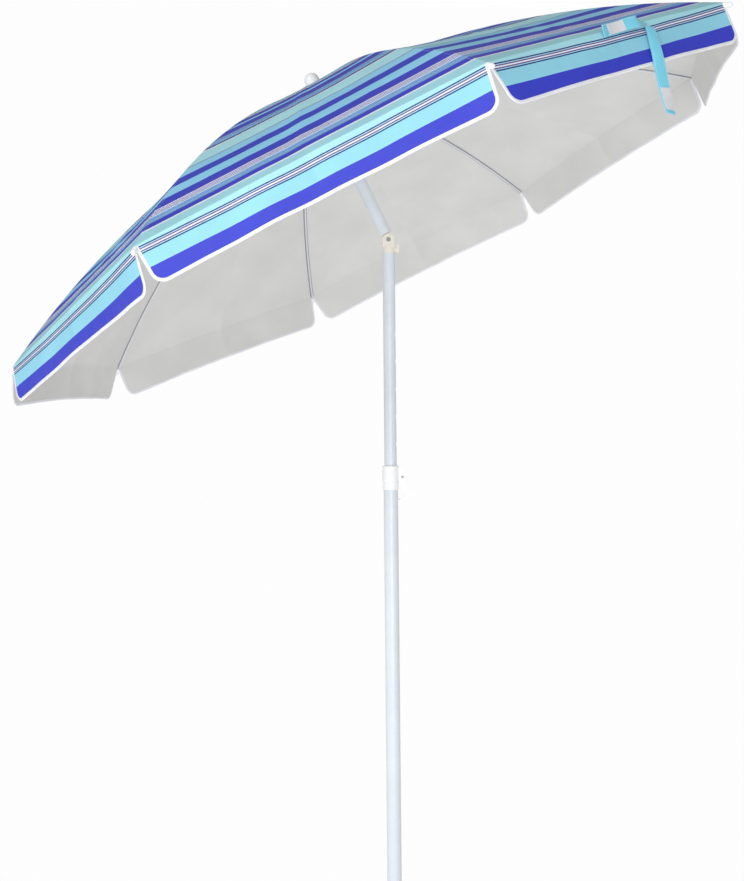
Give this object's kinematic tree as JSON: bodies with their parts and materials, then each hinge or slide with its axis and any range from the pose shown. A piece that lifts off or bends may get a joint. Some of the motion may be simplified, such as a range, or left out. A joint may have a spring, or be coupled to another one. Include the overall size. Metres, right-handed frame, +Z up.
{
  "type": "beach umbrella",
  "caption": "Folding beach umbrella with a striped scalloped canopy on wire ribs, a tilting telescopic pole, a height clip, a sliding runner and a closing strap.",
  "frame": {"origin": "lower end of the straight lower tube, on its axis; the ground spike reaches below it", "axes": "+Z up the lower pole; the upper pole leans towards -X; the tilt hinge lies along Y"},
  "size_m": [1.2665, 1.374, 1.8581],
  "materials": {
    "pole": "white powder coat, slightly glossy",
    "white_plastic": "moulded white plastic",
    "knuckle_plastic": "moulded ivory plastic",
    "rivet_steel": "dull steel",
    "spring_wire": "bright drawn wire",
    "rib_wire": "white lacquered steel",
    "tip_plastic": "moulded white plastic",
    "canopy_cloth": "woven polyester, blue and aqua rings outside and silver-grey inside",
    "canopy_binding": "white woven binding tape",
    "strap_webbing": "aqua polyester, two layers sewn",
    "hook_and_loop": "white hook and loop tape"
  },
  "bodies": {
    "lower_pole": {"ground_spike": "white_plastic", "lower_tube": "pole", "height_collar": "white_plastic", "clip_pin": "rivet_steel"},
    "height_clip": {"height_clip": "white_plastic"},
    "middle_pole": {"middle_tube": "pole", "middle_tube_glide": "white_plastic", "knuckle_base": "knuckle_plastic", "tilt_rivet": "rivet_steel", "button_spring": "spring_wire"},
    "tilt_button": {"tilt_button": "knuckle_plastic"},
    "upper_pole": {"knuckle_head": "knuckle_plastic", "upper_tube": "pole", "runner_catch": "spring_wire", "crown_hub": "white_plastic", "hub_wire_ring": "spring_wire", "hub_rivet": "rivet_steel", "crown_patch": "canopy_cloth", "finial": "white_plastic"},
    "runner": {"runner": "white_plastic", "runner_wire_ring": "spring_wire"},
    "rib_1": {"rib_1": "rib_wire", "rib_tip_1": "tip_plastic", "canopy_section_1": "canopy_cloth"},
    "stretcher_1": {"stretcher_1": "rib_wire"},
    "rib_2": {"rib_2": "rib_wire", "rib_tip_2": "tip_plastic", "canopy_section_2": "canopy_cloth"},
    "stretcher_2": {"stretcher_2": "rib_wire"},
    "rib_3": {"rib_3": "rib_wire", "rib_tip_3": "tip_plastic", "canopy_section_3": "canopy_cloth"},
    "stretcher_3": {"stretcher_3": "rib_wire"},
    "rib_4": {"rib_4": "rib_wire", "rib_tip_4": "tip_plastic", "canopy_section_4": "canopy_cloth", "closing_strap": "strap_webbing", "hook_patch": "hook_and_loop", "loop_patch": "hook_and_loop"},
    "stretcher_4": {"stretcher_4": "rib_wire"},
    "rib_5": {"rib_5": "rib_wire", "rib_tip_5": "tip_plastic", "canopy_section_5": "canopy_cloth"},
    "stretcher_5": {"stretcher_5": "rib_wire"},
    "rib_6": {"rib_6": "rib_wire", "rib_tip_6": "tip_plastic", "canopy_section_6": "canopy_cloth"},
    "stretcher_6": {"stretcher_6": "rib_wire"},
    "rib_7": {"rib_7": "rib_wire", "rib_tip_7": "tip_plastic", "canopy_section_7": "canopy_cloth"},
    "stretcher_7": {"stretcher_7": "rib_wire"},
    "rib_8": {"rib_8": "rib_wire", "rib_tip_8": "tip_plastic", "canopy_section_8": "canopy_cloth"},
    "stretcher_8": {"stretcher_8": "rib_wire"}
  },
  "joints": [
    {"name": "height_slide", "type": "slide", "parent": "lower_pole", "child": "middle_pole", "axis": [0, 0, 1], "range_m": [-0.3, 0.3]},
    {"name": "clip_swing", "type": "hinge", "parent": "lower_pole", "child": "height_clip", "pos_m": [0.0211, 0, 0.9818], "axis": [0, -1, 0], "range_deg": [0, 35]},
    {"name": "button_press", "type": "slide", "parent": "middle_pole", "child": "tilt_button", "axis": [-1, 0, 0], "range_m": [0, 0.003], "stiffness_N_per_m": 900, "springref_m": -0.003},
    {"name": "tilt", "type": "hinge", "parent": "middle_pole", "child": "upper_pole", "pos_m": [0, 0, 1.41], "axis": [0, 1, 0], "range_deg": [0, 25]},
    {"name": "runner_slide", "type": "slide", "parent": "upper_pole", "child": "runner", "axis": [0.4226, 0, -0.9063], "range_m": [0, 0.1416], "deforming": ["canopy_section_1", "canopy_section_2", "canopy_section_3", "canopy_section_4", "canopy_section_5", "canopy_section_6", "canopy_section_7", "canopy_section_8", "runner_catch", "closing_strap", "hook_patch", "loop_patch"]},
    {"name": "rib_hinge_1", "type": "hinge", "parent": "upper_pole", "child": "rib_1", "pos_m": [-0.14172, -0.00417, 1.67493], "axis": [0.2223, -0.9694, 0.1037], "range_deg": [0, 61.9]},
    {"name": "stretcher_hinge_1", "type": "hinge", "parent": "runner", "child": "stretcher_1", "pos_m": [-0.10204, -0.00785, 1.5853], "axis": [-0.2223, 0.9694, -0.1037], "range_deg": [0, 42.92]},
    {"name": "rib_hinge_2", "type": "hinge", "parent": "upper_pole", "child": "rib_2", "pos_m": [-0.13467, -0.0146, 1.67821], "axis": [0.7785, -0.512, 0.363], "range_deg": [0, 61.9]},
    {"name": "stretcher_hinge_2", "type": "hinge", "parent": "runner", "child": "stretcher_2", "pos_m": [-0.09212, -0.01856, 1.58992], "axis": [-0.7785, 0.512, -0.363], "range_deg": [0, 42.92]},
    {"name": "rib_hinge_3", "type": "hinge", "parent": "upper_pole", "child": "rib_3", "pos_m": [-0.12301, -0.01648, 1.68365], "axis": [0.8786, 0.2453, 0.4097], "range_deg": [0, 61.9]},
    {"name": "stretcher_hinge_3", "type": "hinge", "parent": "runner", "child": "stretcher_3", "pos_m": [-0.07825, -0.01839, 1.59639], "axis": [-0.8786, -0.2453, -0.4097], "range_deg": [0, 42.92]},
    {"name": "rib_hinge_4", "type": "hinge", "parent": "upper_pole", "child": "rib_4", "pos_m": [-0.11355, -0.0087, 1.68806], "axis": [0.4641, 0.859, 0.2164], "range_deg": [0, 61.9]},
    {"name": "stretcher_hinge_4", "type": "hinge", "parent": "runner", "child": "stretcher_4", "pos_m": [-0.06855, -0.00745, 1.60092], "axis": [-0.4641, -0.859, -0.2164], "range_deg": [0, 42.92]},
    {"name": "rib_hinge_5", "type": "hinge", "parent": "upper_pole", "child": "rib_5", "pos_m": [-0.11185, 0.00417, 1.68886], "axis": [-0.2223, 0.9694, -0.1037], "range_deg": [0, 61.9]},
    {"name": "stretcher_hinge_5", "type": "hinge", "parent": "runner", "child": "stretcher_5", "pos_m": [-0.0687, 0.00785, 1.60085], "axis": [0.2223, -0.9694, 0.1037], "range_deg": [0, 42.92]},
    {"name": "rib_hinge_6", "type": "hinge", "parent": "upper_pole", "child": "rib_6", "pos_m": [-0.1189, 0.0146, 1.68557], "axis": [-0.7785, 0.512, -0.363], "range_deg": [0, 61.9]},
    {"name": "stretcher_hinge_6", "type": "hinge", "parent": "runner", "child": "stretcher_6", "pos_m": [-0.07861, 0.01856, 1.59623], "axis": [0.7785, -0.512, 0.363], "range_deg": [0, 42.92]},
    {"name": "rib_hinge_7", "type": "hinge", "parent": "upper_pole", "child": "rib_7", "pos_m": [-0.13056, 0.01648, 1.68013], "axis": [-0.8786, -0.2453, -0.4097], "range_deg": [0, 61.9]},
    {"name": "stretcher_hinge_7", "type": "hinge", "parent": "runner", "child": "stretcher_7", "pos_m": [-0.09248, 0.01839, 1.58976], "axis": [0.8786, 0.2453, 0.4097], "range_deg": [0, 42.92]},
    {"name": "rib_hinge_8", "type": "hinge", "parent": "upper_pole", "child": "rib_8", "pos_m": [-0.14002, 0.0087, 1.67572], "axis": [-0.4641, -0.859, -0.2164], "range_deg": [0, 61.9]},
    {"name": "stretcher_hinge_8", "type": "hinge", "parent": "runner", "child": "stretcher_8", "pos_m": [-0.10219, 0.00745, 1.58523], "axis": [0.4641, 0.859, 0.2164], "range_deg": [0, 42.92]}
  ],
  "couplings": [
    {"joint": "rib_hinge_1", "follows": "runner_slide", "rad_per_m": 7.6296},
    {"joint": "stretcher_hinge_1", "follows": "runner_slide", "rad_per_m": 5.2902},
    {"joint": "rib_hinge_2", "follows": "runner_slide", "rad_per_m": 7.6296},
    {"joint": "stretcher_hinge_2", "follows": "runner_slide", "rad_per_m": 5.2902},
    {"joint": "rib_hinge_3", "follows": "runner_slide", "rad_per_m": 7.6296},
    {"joint": "stretcher_hinge_3", "follows": "runner_slide", "rad_per_m": 5.2902},
    {"joint": "rib_hinge_4", "follows": "runner_slide", "rad_per_m": 7.6296},
    {"joint": "stretcher_hinge_4", "follows": "runner_slide", "rad_per_m": 5.2902},
    {"joint": "rib_hinge_5", "follows": "runner_slide", "rad_per_m": 7.6296},
    {"joint": "stretcher_hinge_5", "follows": "runner_slide", "rad_per_m": 5.2902},
    {"joint": "rib_hinge_6", "follows": "runner_slide", "rad_per_m": 7.6296},
    {"joint": "stretcher_hinge_6", "follows": "runner_slide", "rad_per_m": 5.2902},
    {"joint": "rib_hinge_7", "follows": "runner_slide", "rad_per_m": 7.6296},
    {"joint": "stretcher_hinge_7", "follows": "runner_slide", "rad_per_m": 5.2902},
    {"joint": "rib_hinge_8", "follows": "runner_slide", "rad_per_m": 7.6296},
    {"joint": "stretcher_hinge_8", "follows": "runner_slide", "rad_per_m": 5.2902}
  ]
}
